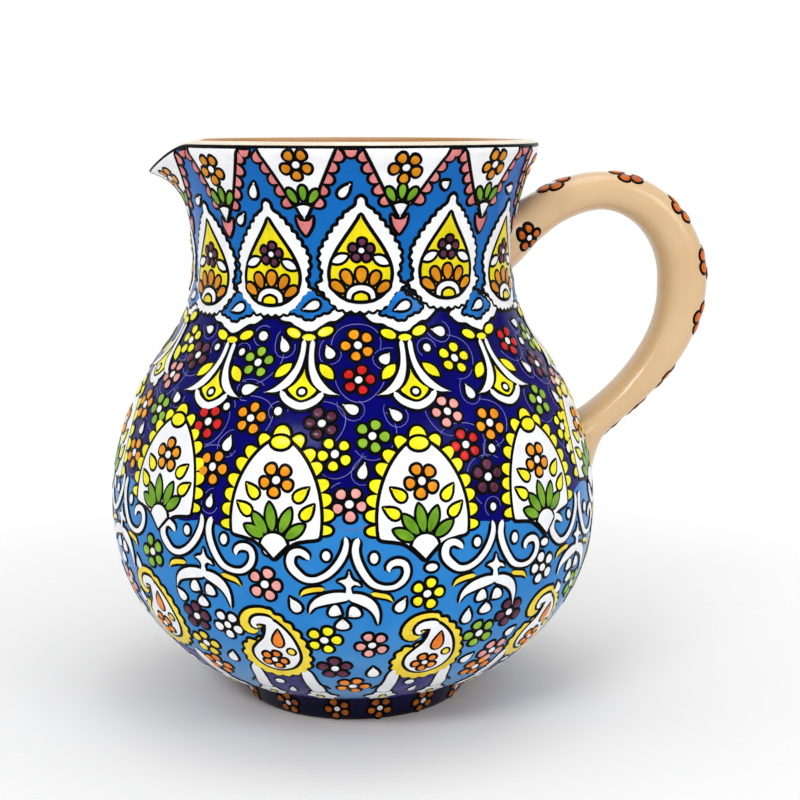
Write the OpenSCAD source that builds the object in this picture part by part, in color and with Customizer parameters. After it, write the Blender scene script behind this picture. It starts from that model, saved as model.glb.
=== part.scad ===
// Painted earthenware pitcher with a drooping pouring lip and one strap handle.
// The axis of the jug is Z, the foot stands on z = 0, the lip points to -X and the handle to +X.

/* [Body] */
// Height of the jug to the top of its rim
jug_h = 220; // [205:1:245]
// Diameter of the belly at its widest ring
belly_d = 190; // [178:1:202]
// Height of the belly's widest ring
belly_z = 76; // [70:1:84]
// Diameter of the belly where it meets the foot
base_d = 100; // [93:1:107]
// Diameter of the neck at its waist
neck_d = 122; // [110:1:132]
// Drop from the rim to the neck's waist
neck_drop = 45; // [38:1:52]
// Drop from the neck's waist to the turn, where the shoulder's curve hands over to the throat's
turn_drop = 34.6; // [29:0.1:40]
// Radius of the flare over the waist
flare_curve = 88; // [78:1:100]
// Thickness of the thrown wall
wall = 5.5; // [4:0.5:7]

/* [Foot and floor] */
// Diameter of the foot where it stands
foot_d = 88; // [80:1:94]
// Height of the foot
foot_h = 11.5; // [10:0.5:14]
// Width of the ring that the jug stands on
foot_ring_w = 10; // [7:0.5:14]
// Set-in of the foot's top edge under the belly
foot_step = 1; // [0.5:0.5:2]
// Chamfer at the foot's outer edge
foot_edge = 1; // [0.5:0.5:1.5]
// Thickness of the floor
floor_t = 7; // [5:0.5:9]

/* [Rim and pouring lip] */
// Height of the rim band
rim_h = 4.5; // [4:0.5:7]
// Outward lean of the rim band
rim_offset = 0.8; // [0:0.2:2]
// Sector of the neck that the pouring lip takes, in degrees
lip_angle = 64; // [50:2:80]
// Height of the pouring lip's piece, from its base to the rim
lip_h = 34; // [28:1:38]
// Reach of the lip's tip past the rim
lip_reach = 7.5; // [5:0.5:10]
// Drop of the lip's tip under the rim
lip_drop = 11.5; // [7:0.5:15]

/* [Handle] */
// Distance from the jug's axis to the outside of the strap
handle_reach = 142; // [135:1:150]
// Drop from the rim to the strap's highest point
crest_drop = 12.5; // [8:0.5:18]
// Distance from the jug's axis to the strap's highest point
crest_r = 98.5; // [92:0.5:105]
// Drop from the rim to the strap's outermost point
grip_drop = 57; // [51:1:63]
// Drop from the rim to where the strap's middle meets the neck
upper_root_drop = 37; // [33:0.5:41]
// Rise from the belly's widest ring to where the strap's middle meets it
lower_root_rise = 27.5; // [23:0.5:32]
// Slope of the strap where it leaves the neck, in degrees
upper_angle = 25; // [15:1:35]
// Slope of the strap where it comes down to the belly, in degrees
lower_angle = 32; // [22:1:42]
// Thickness of the strap at its crest
crest_t = 15; // [12:0.5:18]
// Thickness of the strap at its outermost point
grip_t = 20; // [17:0.5:23]
// Thickness of the strap on its way down
fall_t = 14.5; // [12:0.5:17]
// Thickness of the strap where it leaves the neck
root_t = 26; // [22:0.5:30]
// Thickness of the strap where it comes down to the belly
heel_t = 15; // [12:0.5:18]
// Width of the strap
strap_w = 20; // [17:0.5:24]
// Width of the strap at its roots
root_w = 29; // [25:0.5:32]

/* [Luting pads] */
// Margin of the slip pad round each root of the strap
pad_margin = 2.5; // [2:0.5:4]
// Thickness of the slip pads
pad_t = 1.5; // [1:0.1:2]

/* [Glaze and enamel] */
// Thickness of the enamel coats outside
enamel_t = 0.6; // [0.4:0.1:0.9]
// Thickness of the glaze inside
lining_t = 0.5; // [0.3:0.1:0.8]
// Drop from the neck's waist to where its sky blue meets the shoulder's cobalt
ground_drop = 18; // [12:1:24]
// Bare clay left at the foot's edge
bare_edge = 2.5; // [2:0.5:4]

/* [Hidden] */

$fn = 96;
clay = "#d8b48a";
cream = "#dcb98d";
glaze = "#a8763e";
cobalt = "#0b0a73";
mid_blue = "#2f8acb";
sky_blue = "#0f6cbe";
white = "#f7f7fb";

// Curves are kept to whole microns, so that arcs that meet share their end points
micron = 0.001;
function kept(x) = round(x / micron) * micron;

// Profile: four arcs, tangent where they meet
belly_r = belly_d / 2;
base_r = base_d / 2;
neck_r = neck_d / 2;
bowl_dr = belly_r - base_r;
bowl_curve = kept((bowl_dr ^ 2 + (belly_z - foot_h) ^ 2) / (2 * bowl_dr));
bowl_c = [belly_r - bowl_curve, belly_z];
neck_z = jug_h - neck_drop;
waist_dr = belly_r - neck_r;
waist_dz = neck_z - belly_z;
curve_sum = (waist_dr ^ 2 + waist_dz ^ 2) / (2 * waist_dr);
throat_curve = kept(curve_sum * turn_drop / waist_dz);
shoulder_curve = kept(curve_sum - throat_curve);
shoulder_c = [belly_r - shoulder_curve, belly_z];
throat_c = [neck_r + throat_curve, neck_z];
flare_c = [neck_r + flare_curve, neck_z];
turn_sine = waist_dz / curve_sum;
far = 2 * belly_d;

// Height at which the shoulder's arc hands over to the throat's, for a skin off the surface
function turn_z(off) = belly_z + (shoulder_curve + off) * turn_sine;
function bulge_r(c, r, z) = c.x + sqrt(r ^ 2 - (z - c.y) ^ 2);
function hollow_r(c, r, z) = c.x - sqrt(r ^ 2 - (z - c.y) ^ 2);

// Radius of the body at a height, with a skin off the clay's outer surface
function body_r(z, off = 0) =
    z < belly_z ? bulge_r(bowl_c, bowl_curve + off, z)
    : z < turn_z(off) ? bulge_r(shoulder_c, shoulder_curve + off, z)
    : z < neck_z ? hollow_r(throat_c, throat_curve - off, z)
    : hollow_r(flare_c, flare_curve - off, z);

floor_z = foot_h + floor_t;
foot_r = foot_d / 2;
foot_top_r = base_r - foot_step;
rim_z = jug_h - rim_h;
lip_z = jug_h - lip_h;
ground_z = neck_z - ground_drop;
neck_joint_z = turn_z(0);
upper_root_z = jug_h - upper_root_drop;
lower_root_z = belly_z + lower_root_rise;
pad_d = max(root_w, root_t) + 2 * pad_margin;

// Rim band: leaning sides and a half-round top
rim_out = body_r(rim_z);
rim_in = body_r(rim_z, -wall);
rim_round = (rim_out - rim_in) / 2;
rim_mid = (rim_out + rim_in) / 2 + rim_offset;
rim_top = jug_h - rim_round;

// Plane figures of the section, with x as the radius and y as the height
module slab(z0, z1, r0 = 0) {
    translate([r0, z0]) square([far, z1 - z0]);
}

module disc(c, r) {
    translate(c) circle(r = r);
}

// Overlap of figures that join
lap = 1;

// Disc that stays full as far as the axis
module dome(c, r) {
    disc(c, r);
    translate([0, c.y - r]) square([max(c.x, lap), 2 * r]);
}

// Filled section of the body from the foot to the rim band, grown by a skin.
// Over the turn, the shoulder's disc lies inside the throat's outline, and under the waist the flare's does.
module filled_section(off) {
    intersection() {
        dome(bowl_c, bowl_curve + off);
        slab(foot_h, belly_z);
    }
    intersection() {
        dome(shoulder_c, shoulder_curve + off);
        slab(belly_z, neck_z);
    }
    difference() {
        translate([0, turn_z(off)]) square([throat_c.x, neck_z - turn_z(off)]);
        disc(throat_c, throat_curve - off);
    }
    difference() {
        translate([0, neck_z - lap]) square([flare_c.x, rim_z - neck_z + lap]);
        disc(flare_c, flare_curve - off);
    }
}

// Wall between two skins, from one height to another
module shell(outer, inner, z0, z1, r0 = 0) {
    rotate_extrude() intersection() {
        difference() {
            filled_section(outer);
            filled_section(inner);
        }
        slab(z0, z1, r0);
    }
}

// Room that the pouring lip takes out of the neck and the rim
module lip_room() {
    half = lip_angle / 2;
    translate([0, 0, lip_z]) linear_extrude(lip_h + rim_h) polygon(concat([[0, 0]],
        [for (a = [180 - half, 180, 180 + half]) far * [cos(a), sin(a)]]));
}

// Round bar along +X, through one root of the handle
module root_bar(z) {
    translate([0, 0, z]) rotate([0, 90, 0]) cylinder(d = pad_d, h = far);
}

module root_bars() {
    root_bar(upper_root_z);
    root_bar(lower_root_z);
}

module pad(z) {
    intersection() {
        shell(pad_t, 0, foot_h, rim_z);
        root_bar(z);
    }
}

// Pouring lip: the neck's own section, carried round its sector and pulled out and down towards the tip.
// It runs a little past its room, which cuts it to size.
lip_spare = 1;
spare_angle = 1;
lip_steps = 24;
rise_steps = 10;
round_steps = 6;
pull_power = 4;
drop_power = 2;
lip_base_z = lip_z - lip_spare;
lip_rise = [for (i = [0 : rise_steps]) lip_base_z + (rim_z - lip_base_z) * i / rise_steps];

function tongue(a) = abs(a - 180) < lip_angle / 2 ? cos(180 * (a - 180) / lip_angle) ^ 2 : 0;
function lip_point(p, a) =
    let (s = max(0, p.y - lip_z) / lip_h, r = p.x + lip_reach * tongue(a) * s ^ pull_power)
    [r * cos(a), r * sin(a), p.y - lip_drop * tongue(a) * s ^ drop_power];

lip_section = concat(
    [for (z = lip_rise) [body_r(z), z]],
    [for (i = [0 : round_steps])
        [rim_mid, rim_top] + rim_round * [cos(180 * i / round_steps), sin(180 * i / round_steps)]],
    [for (i = [rise_steps : -1 : 0]) [body_r(lip_rise[i], -wall), lip_rise[i]]]);
lip_coat_section = concat(
    [for (z = lip_rise) [body_r(z, enamel_t), z]],
    [for (i = [rise_steps : -1 : 0]) [body_r(lip_rise[i]), lip_rise[i]]]);

// Closed skin over rings of points, with a flat cap at each end
module loft(rings) {
    n = len(rings[0]);
    m = len(rings);
    polyhedron(
        points = [for (ring = rings) each ring],
        faces = concat(
            [[for (i = [0 : n - 1]) i]],
            [[for (i = [n - 1 : -1 : 0]) (m - 1) * n + i]],
            [for (k = [0 : m - 2], i = [0 : n - 1], half = [0, 1])
                let (a = k * n + i, b = k * n + (i + 1) % n)
                half == 0 ? [a, a + n, b] : [b, a + n, b + n]]),
        convexity = 6);
}

module lip_loft(section) {
    span = lip_angle + 2 * spare_angle;
    intersection() {
        loft([for (k = [0 : lip_steps])
            let (a = 180 + span * (0.5 - k / lip_steps))
            [for (p = section) lip_point(p, a)]]);
        lip_room();
    }
}

// Handle: an oval carried along three curves, from the neck over the crest and the grip to the belly
curve_steps = 14;
strap_sides = 20;
root_sink = 2 * wall;
ease = 0.35;
quarter_ease = 0.552;
oval_power = 0.85;
mid_flare = 0.1;

function heading(a) = [cos(a), sin(a)];
function bezier(p, t) =
    (1 - t) ^ 3 * p[0] + 3 * (1 - t) ^ 2 * t * p[1] + 3 * (1 - t) * t ^ 2 * p[2] + t ^ 3 * p[3];
function bezier_way(p, t) =
    (1 - t) ^ 2 * (p[1] - p[0]) + 2 * (1 - t) * t * (p[2] - p[1]) + t ^ 2 * (p[3] - p[2]);

upper_root = [body_r(upper_root_z), upper_root_z] - root_sink * heading(upper_angle);
lower_root = [body_r(lower_root_z), lower_root_z] - root_sink * heading(lower_angle);
crest = [crest_r, jug_h - crest_drop - crest_t / 2];
grip = [handle_reach - grip_t / 2, jug_h - grip_drop];
rise_pull = ease * norm(crest - upper_root);
fall_pull = ease * norm(grip - lower_root);
strap_curves = [
    [upper_root, upper_root + rise_pull * heading(upper_angle), crest - [rise_pull, 0], crest],
    [crest, crest + [quarter_ease * (grip.x - crest.x), 0],
        grip + [0, quarter_ease * (crest.y - grip.y)], grip],
    [grip, grip - [0, fall_pull], lower_root + fall_pull * heading(lower_angle), lower_root]
];

// Oval at places along the strap: place, thickness, width. Each curve runs over a place of 1.
flare_place = 0.55;
fall_place = 2.6;
strap_sizes = [
    [0, root_t, root_w],
    [flare_place, crest_t + mid_flare * (root_t - crest_t), strap_w + mid_flare * (root_w - strap_w)],
    [1, crest_t, strap_w],
    [2, grip_t, strap_w],
    [fall_place, fall_t, strap_w],
    [3, heel_t, root_w]
];
function glide(t) = (1 - cos(180 * t)) / 2;
function strap_size(t, i = 0) =
    t <= strap_sizes[i + 1][0] || i == len(strap_sizes) - 2
    ? let (a = strap_sizes[i], b = strap_sizes[i + 1])
        a + (b - a) * glide((t - a[0]) / (b[0] - a[0]))
    : strap_size(t, i + 1);
function oval(c) = sign(c) * abs(c) ^ oval_power;
function strap_ring(t) =
    let (
        k = min(floor(t), len(strap_curves) - 1),
        p = bezier(strap_curves[k], t - k),
        way = bezier_way(strap_curves[k], t - k) / norm(bezier_way(strap_curves[k], t - k)),
        size = strap_size(t))
    [for (i = [0 : strap_sides - 1])
        let (
            a = 360 * i / strap_sides,
            out = size[1] / 2 * oval(cos(a)),
            side = size[2] / 2 * oval(sin(a)))
        [p.x - way.y * out, side, p.y + way.x * out]];

module foot_ring() {
    color(clay) rotate_extrude() polygon([
        [foot_r - foot_ring_w, 0], [foot_r - foot_edge, 0], [foot_r, foot_edge],
        [foot_top_r, foot_h], [foot_r - foot_ring_w, foot_h]]);
}

module floor_disc() {
    color(clay) translate([0, 0, foot_h]) cylinder(r = base_r, h = floor_t);
}

module lower_belly() {
    color(clay) rotate_extrude() difference() {
        intersection() {
            dome(bowl_c, bowl_curve);
            slab(foot_h, belly_z);
        }
        square([base_r, floor_z]);
        intersection() {
            dome(bowl_c, bowl_curve - wall);
            slab(floor_z, jug_h);
        }
    }
}

module upper_belly() {
    color(clay) shell(0, -wall, belly_z, neck_joint_z);
}

module neck_collar() {
    color(clay) difference() {
        shell(0, -wall, neck_joint_z, rim_z);
        lip_room();
    }
}

module rim_band() {
    color(cream) difference() {
        rotate_extrude() union() {
            polygon([[rim_in, rim_z], [rim_out, rim_z],
                [rim_mid + rim_round, rim_top], [rim_mid - rim_round, rim_top]]);
            intersection() {
                disc([rim_mid, rim_top], rim_round);
                slab(rim_z, jug_h);
            }
        }
        lip_room();
    }
}

module pouring_lip() {
    color(cream) lip_loft(lip_section);
}

module handle() {
    color(cream) difference() {
        loft([for (i = [0 : 3 * curve_steps]) strap_ring(i / curve_steps)]);
        rotate_extrude() filled_section(pad_t);
    }
}

module upper_pad() {
    color(cream) pad(upper_root_z);
}

module lower_pad() {
    color(cream) pad(lower_root_z);
}

module lining_glaze() {
    color(glaze) difference() {
        rotate_extrude() intersection() {
            difference() {
                filled_section(-wall);
                intersection() {
                    filled_section(-wall - lining_t);
                    slab(floor_z + lining_t, jug_h);
                }
            }
            slab(floor_z, rim_z);
        }
        lip_room();
    }
}

module foot_enamel() {
    lean = (foot_top_r - foot_r) / (foot_h - foot_edge);
    bare_r = foot_r + lean * (bare_edge - foot_edge);
    color(cobalt) rotate_extrude() polygon([
        [bare_r, bare_edge], [bare_r + enamel_t, bare_edge],
        [foot_top_r + enamel_t, foot_h], [foot_top_r, foot_h]]);
}

module belly_enamel() {
    color(mid_blue) difference() {
        shell(enamel_t, 0, foot_h, belly_z, base_r);
        root_bars();
    }
}

module shoulder_enamel() {
    color(cobalt) difference() {
        shell(enamel_t, 0, belly_z, ground_z);
        root_bars();
    }
}

module neck_enamel() {
    color(sky_blue) difference() {
        shell(enamel_t, 0, ground_z, rim_z);
        lip_room();
        root_bars();
    }
}

module lip_enamel() {
    color(white) lip_loft(lip_coat_section);
}

foot_ring();
floor_disc();
lower_belly();
upper_belly();
neck_collar();
rim_band();
pouring_lip();
handle();
upper_pad();
lower_pad();
lining_glaze();
foot_enamel();
belly_enamel();
shoulder_enamel();
neck_enamel();
lip_enamel();
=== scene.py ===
import bpy
import numpy as np
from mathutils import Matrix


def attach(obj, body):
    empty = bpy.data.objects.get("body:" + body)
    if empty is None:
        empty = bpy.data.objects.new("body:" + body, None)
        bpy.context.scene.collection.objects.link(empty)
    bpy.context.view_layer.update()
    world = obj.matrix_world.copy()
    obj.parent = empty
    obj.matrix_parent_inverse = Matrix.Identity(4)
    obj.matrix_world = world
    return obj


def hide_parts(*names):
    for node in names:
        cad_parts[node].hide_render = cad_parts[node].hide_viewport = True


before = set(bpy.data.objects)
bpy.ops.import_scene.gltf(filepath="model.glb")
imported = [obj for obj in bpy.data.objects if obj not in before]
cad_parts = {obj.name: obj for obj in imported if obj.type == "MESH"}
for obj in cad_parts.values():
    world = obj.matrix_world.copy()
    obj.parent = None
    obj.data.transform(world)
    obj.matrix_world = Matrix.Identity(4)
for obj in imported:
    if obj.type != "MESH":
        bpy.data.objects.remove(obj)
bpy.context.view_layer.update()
print("solids loaded")

mm = 0.001
rng = np.random.default_rng(1387)

# The thrown shape, in mm, as the solids have it
jug = {
    "bellyR": 95.0, "bellyZ": 76.0, "baseR": 50.0, "footH": 11.5, "neckR": 61.0, "neckZ": 175.0,
    "throatCurve": 56.315, "shoulderCurve": 104.817, "flareCurve": 88.0, "coat": 0.6, "wall": 6.0,
    "start": 4.2, "rimZ": 215.5, "rimMid": 68.35, "rimRound": 3.5, "rimTurnZ": 216.5, "lipZ": 186.0,
    "lipH": 34.0, "lipReach": 7.5, "lipDrop": 11.5, "lipHalf": 32.0, "facing": 267.5, "settle": 20}


def wallRadius(z, off):
    # bowl circle, shoulder circle, then the hollow circles of throat and flare, each off mm outwards
    z = np.asarray(z, float)
    fall = jug["bellyR"] - jug["baseR"]
    bowl = (fall**2 + (jug["bellyZ"] - jug["footH"])**2) / (2 * fall)
    both = jug["shoulderCurve"] + jug["throatCurve"]
    turnZ = jug["bellyZ"] + (jug["shoulderCurve"] + off) * (jug["neckZ"] - jug["bellyZ"]) / both
    fromBelly = z - jug["bellyZ"]
    fromNeck = z - jug["neckZ"]
    low = jug["bellyR"] - bowl + np.sqrt(np.maximum((bowl + off)**2 - fromBelly**2, 0))
    arc = jug["shoulderCurve"]
    high = jug["bellyR"] - arc + np.sqrt(np.maximum((arc + off)**2 - fromBelly**2, 0))
    hollow = jug["throatCurve"]
    throat = jug["neckR"] + hollow - np.sqrt(np.maximum((hollow - off)**2 - fromNeck**2, 0))
    flare = jug["flareCurve"]
    top = jug["neckR"] + flare - np.sqrt(np.maximum((flare - off)**2 - fromNeck**2, 0))
    return np.select([z < jug["bellyZ"], z < turnZ, z < jug["neckZ"]], [low, high, throat], top)


def rimAt(turn):
    # radius and height on the round of the rim
    return jug["rimMid"] + jug["rimRound"] * np.cos(turn), jug["rimTurnZ"] + jug["rimRound"] * np.sin(turn)


# The painted wall as a table: s is the way up the wall in mm, counted from a little under the foot's top
zRun = np.linspace(jug["footH"], jug["rimZ"], 1800)
overRim = np.radians(np.linspace(-12, 80, 60))
overR, overZ = rimAt(overRim)
wallZ = np.concatenate([zRun, overZ])
wallR = np.concatenate([wallRadius(zRun, jug["coat"]), overR])
wallS = jug["start"] + np.concatenate([[0], np.cumsum(np.hypot(np.diff(wallR), np.diff(wallZ)))])
jug["rimS"] = wallS[-1]
wallNr = np.gradient(wallZ, wallS)
wallNz = -np.gradient(wallR, wallS)


def pullLip(r, phi, z):
    # the lip: outwards with the fourth power of the height over its root, down with the square,
    # both less to its sides by a squared cosine
    off = np.degrees(np.angle(np.exp(1j * (phi - np.pi))))
    tongue = np.where(np.abs(off) < jug["lipHalf"], np.cos(np.pi * off / (2 * jug["lipHalf"]))**2, 0)
    rise = np.maximum((z - jug["lipZ"]) / jug["lipH"], 0)
    r = r + jug["lipReach"] * tongue * rise**4
    z = z - jug["lipDrop"] * tongue * rise**2
    return np.stack([r * np.cos(phi), r * np.sin(phi), z], -1) * mm


def onWall(turn, lift=0.0):
    # x mm to the right of a meridian turn degrees from the camera's, s mm up the wall, h mm off it
    # a motif lies lift mm higher than it is drawn, less and less where it settles under the rim
    def place(x, s, h):
        s = s + lift * np.clip((jug["rimS"] - s) / jug["settle"], 0, 1)
        r = np.interp(s, wallS, wallR)
        z = np.interp(s, wallS, wallZ)
        phi = np.radians(jug["facing"] + turn) + x / r
        return pullLip(r + h * np.interp(s, wallS, wallNr), phi, z + h * np.interp(s, wallS, wallNz))
    return place


# Heaps gather the grids of one coat until its mesh is made
heaps = {}


def addGrid(key, pts, wrap=False, pole=None):
    # a grid of points as quads, its last row joined to the first where it wraps, and a fan to the pole
    heap = heaps.setdefault(key, {"points": [], "quads": [], "fans": [], "count": 0})
    rows, cols = pts.shape[:2]
    i = np.arange(rows if wrap else rows - 1)
    k = (i + 1) % rows
    j = np.arange(cols - 1)
    first = i[:, None] * cols + j
    after = k[:, None] * cols + j
    quads = np.stack([first, after, after + 1, first + 1], -1).reshape(-1, 4)
    heap["quads"].append(quads + heap["count"])
    heap["points"].append(pts.reshape(-1, 3))
    total = rows * cols
    if pole is not None:
        edge = i * cols + cols - 1
        tip = np.full(len(i), total)
        heap["fans"].append(np.stack([edge, k * cols + cols - 1, tip], -1) + heap["count"])
        heap["points"].append(pole.reshape(1, 3))
        total += 1
    heap["count"] += total


def makeMesh(name, key, material):
    # the heap's arrays straight into one mesh
    heap = heaps[key]
    points = np.concatenate(heap["points"])
    quads = np.concatenate(heap["quads"])
    fans = np.concatenate(heap["fans"]) if heap["fans"] else np.zeros((0, 3), int)
    starts = np.concatenate([np.arange(len(quads)) * 4, len(quads) * 4 + np.arange(len(fans)) * 3])
    mesh = bpy.data.meshes.new(name)
    mesh.vertices.add(len(points))
    mesh.vertices.foreach_set("co", points.ravel())
    mesh.loops.add(quads.size + fans.size)
    mesh.loops.foreach_set("vertex_index", np.concatenate([quads.ravel(), fans.ravel()]))
    mesh.polygons.add(len(starts))
    mesh.polygons.foreach_set("loop_start", starts)
    mesh.polygons.foreach_set("use_smooth", np.ones(len(starts), bool))
    mesh.update(calc_edges=True)
    mesh.validate()
    mesh.materials.append(material)
    piece = bpy.data.objects.new(name, mesh)
    bpy.context.scene.collection.objects.link(piece)
    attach(piece, "root")
    return piece


# Outlines and paths in the plane of the painting, in mm: x to the right, s upwards

def lengths(run):
    # the way along a run of points up to each of them
    return np.concatenate([[0], np.cumsum(np.linalg.norm(np.diff(run, axis=0), axis=1))])


def spline(points, closed=True, step=0.8):
    # Catmull-Rom through the points, then even steps along it
    p = np.asarray(points, float)
    if closed:
        a, b, c, d = np.roll(p, 1, 0), p, np.roll(p, -1, 0), np.roll(p, -2, 0)
    else:
        b, c = p[:-1], p[1:]
        a = np.concatenate([2 * p[:1] - p[1:2], p[:-2]])
        d = np.concatenate([p[2:], 2 * p[-1:] - p[-2:-1]])
    t = (np.arange(12) / 12)[None, :, None]
    a, b, c, d = a[:, None], b[:, None], c[:, None], d[:, None]
    run = 0.5 * (2*b + (c - a)*t + (2*a - 5*b + 4*c - d)*t**2 + (3*b - a - 3*c + d)*t**3)
    run = run.reshape(-1, p.shape[1])
    if not closed:
        run = np.concatenate([run, p[-1:]])
    return evenly(run, closed, step)


def evenly(run, closed, step):
    # points at equal lengths along a run of points
    run = np.concatenate([run, run[:1]]) if closed else run
    way = lengths(run[:, :2])
    count = max(int(round(way[-1] / step)), 8 if closed else 3)
    at = np.linspace(0, way[-1], count + 1)
    at = at[:-1] if closed else at
    return np.stack([np.interp(at, way, run[:, c]) for c in range(run.shape[1])], -1)


def leftOf(run, closed):
    # unit normal to the left of the way along
    if closed:
        along = np.roll(run, -1, 0) - np.roll(run, 1, 0)
    else:
        along = np.gradient(run, axis=0)
    along = along / np.maximum(np.linalg.norm(along, axis=1, keepdims=True), 1e-9)
    return np.stack([-along[:, 1], along[:, 0]], -1)


def wound(outline):
    # anticlockwise, so that its faces point off the wall
    x, y = outline.T
    area = np.sum(x * np.roll(y, -1) - np.roll(x, -1) * y)
    return outline if area > 0 else outline[::-1]


def pushed(outline, by):
    # outwards by so many mm, or inwards where it is negative
    outline = wound(outline)
    return outline - leftOf(outline, True) * by


def rippled(outline, high, long, smooth=1e9):
    # a wave along the outline: a whole number of crests about long mm apart, none over the height smooth
    outline = wound(outline)
    way = np.cumsum(np.linalg.norm(outline - np.roll(outline, 1, 0), axis=1))
    crests = max(int(round(way[-1] / long)), 3)
    wave = np.abs(np.sin(np.pi * crests * way / way[-1])) - 0.5
    wave = wave * np.clip((smooth - outline[:, 1]) / 2, 0, 1)
    return outline - leftOf(outline, True) * (high * wave)[:, None]


def laid(points, x, s, tilt):
    # a shape round 0, 0 turned anticlockwise by tilt degrees and set down at x, s
    a = np.radians(tilt)
    turn = np.array([[np.cos(a), np.sin(a)], [-np.sin(a), np.cos(a)]])
    return np.asarray(points) @ turn + [x, s]


def oval(wide, long, count=12):
    # an ellipse
    a = np.arange(count) * 2 * np.pi / count
    return np.stack([np.cos(a) * wide / 2, np.sin(a) * long / 2], -1)


def egg(wide, long, count=14):
    # an oval that is wider at its upper end
    a = np.arange(count) * 2 * np.pi / count
    return np.stack([np.cos(a) * (1 + 0.16 * np.sin(a)) * wide / 2, np.sin(a) * long / 2], -1)


def scale(wide, deep, count=13):
    # half an oval that stands on its flat side, with the corners drawn in
    a = np.linspace(0, np.pi, count)
    arch = np.stack([np.cos(a) * wide / 2, np.sin(a)**0.8 * deep], -1)
    foot = np.linspace(-1, 1, 5)[1:-1]
    return np.concatenate([arch, np.stack([foot * wide / 2, np.full(3, -0.15)], -1)])


def tear(wide, long, count=16):
    # a tear with its tip up: the width is a sine times the sine of half the angle
    a = np.arange(count) * 2 * np.pi / count
    return np.stack([-1.3 * np.sin(a) * np.sin(a / 2) * wide / 2, np.cos(a) * long / 2], -1)


def blade(wide, long, count=16):
    # a leaf with two points: the width is a sine to the power 1.6
    a = np.arange(count) * 2 * np.pi / count
    return np.stack([-np.sin(a) * np.abs(np.sin(a))**0.6 * wide / 2, np.cos(a) * long / 2], -1)


smallRings = np.array([0.55])
wideRings = np.array([0.88, 0.76, 0.64, 0.52, 0.4, 0.27, 0.14])
# How an edge climbs: mm in from it, the share of the height there, and how far it is sunk
bank = {"in": np.array([0, 0.2, 0.5]), "share": np.array([0, 0.62, 0.86]), "sink": 0.1}


def puddle(key, outline, place, low=0.0, high=0.45, hub=None, rings=smallRings):
    # fired glaze: a bank climbs from the sunk edge, then rings shrink to the hub under a low dome
    outline = wound(outline)
    hub = outline.mean(0) if hub is None else np.asarray(hub, float)
    reach = np.linalg.norm(outline - hub, axis=1).mean()
    edge = np.maximum(1 - bank["in"] / reach, 0.35)
    part = np.concatenate([edge, edge[-1] * rings])
    rise = low + high * np.concatenate([bank["share"], 1 - 0.14 * rings**2])
    rise[0] = low - bank["sink"]
    at = hub + part[None, :, None] * (outline - hub)[:, None]
    grid = place(at[..., 0], at[..., 1], np.broadcast_to(rise, at.shape[:2]))
    addGrid(key, grid, True, place(hub[0], hub[1], low + high))


def stroke(key, path, half, place, low=0.0, high=0.4, closed=False):
    # a round-backed line: seven points across it, the same banks at both sides
    half = np.broadcast_to(np.asarray(half, float), (len(path),))
    edge = np.maximum(1 - bank["in"] / np.maximum(half, 0.02)[:, None], [1, 0.85, 0.5])
    across = np.concatenate([-edge, np.zeros((len(path), 1)), edge[:, ::-1]], 1)
    rise = low + high * np.concatenate([bank["share"], [1], bank["share"][::-1]])
    rise[[0, -1]] = low - bank["sink"]
    side = leftOf(path, closed)
    at = path[:, None] + side[:, None] * (half[:, None] * across)[..., None]
    addGrid(key, place(at[..., 0], at[..., 1], np.broadcast_to(rise, at.shape[:2])), closed)


def capped(path, half):
    # the half width with round ends
    way = lengths(path)
    near = np.minimum(way, way[-1] - way)
    blunt = np.maximum(half, 0.05)
    return half * np.sqrt(1 - (1 - np.clip(near / blunt, 0.02, 1))**2)


# How much broader the piped lines are than written, and those round petals in mm
pen = {"neck": 1.15, "shoulder": 1.08, "belly": 1.05, "petal": 1.12}


def inked(zone, colour, outline, place, low=0.0, high=0.5, line=1.1, hub=None, rings=smallRings):
    # a colour within a piped black line
    line = line * pen[zone]
    puddle((zone, "ink"), pushed(outline, line / 2), place, low, high * 0.6, hub, rings)
    puddle((zone, colour), pushed(outline, -line / 2), place, low + high * 0.55, high * 0.45, hub, rings)


def inkedStroke(zone, colour, points, place, low=0.0, high=0.45, line=1.0, step=0.9):
    # points hold x, s and the width there
    line = line * pen[zone]
    run = spline(points, False, step)
    path = run[:, :2]
    half = capped(path, run[:, 2] / 2)
    stroke((zone, "ink"), path, capped(path, run[:, 2] / 2 + line / 2), place, low, high * 0.6)
    stroke((zone, colour), path, np.maximum(half - line / 2, 0.03), place, low + high * 0.5, high * 0.5)


# A flower: shares of its size, degrees of sway, and heights in mm
bloom = {"petals": 5, "sway": 4, "reach": (0.59, 0.62), "uneven": 0.03, "eye": (0.45, 0.42),
         "ink": 0.26, "petalInk": 0.28, "step": 0.24, "high": 0.34}


def flower(zone, colour, x, s, place, size=6.9, low=0.0, tilt=None, full=0.51):
    # egg-shaped petals about a white eye, each on its own black ground, full times the flower's size
    tilt = rng.uniform(0, 360) if tilt is None else tilt
    line = 2 * pen["petal"]
    top = low + bloom["step"]
    puddle((zone, "ink"), laid(oval(size, size, 20), x, s, 0), place, low, bloom["ink"])
    for k in range(bloom["petals"]):
        angle = tilt + 360 * k / bloom["petals"] + rng.uniform(-bloom["sway"], bloom["sway"])
        reach = size * rng.uniform(*bloom["reach"])
        wide = size * rng.uniform(full - bloom["uneven"], full + bloom["uneven"])
        long = size * rng.uniform(full - bloom["uneven"], full + bloom["uneven"])
        at = laid([[0, reach]], x, s, angle)[0]
        under = laid(egg(wide + line, long + line, 18), at[0], at[1], angle)
        puddle((zone, "ink"), under, place, low, bloom["petalInk"])
        puddle((zone, colour), laid(egg(wide, long), at[0], at[1], angle), place, top, bloom["high"])
    eye = oval(size * bloom["eye"][0], size * bloom["eye"][1])
    puddle((zone, "white"), laid(eye, x, s, tilt), place, top, bloom["high"])


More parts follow.
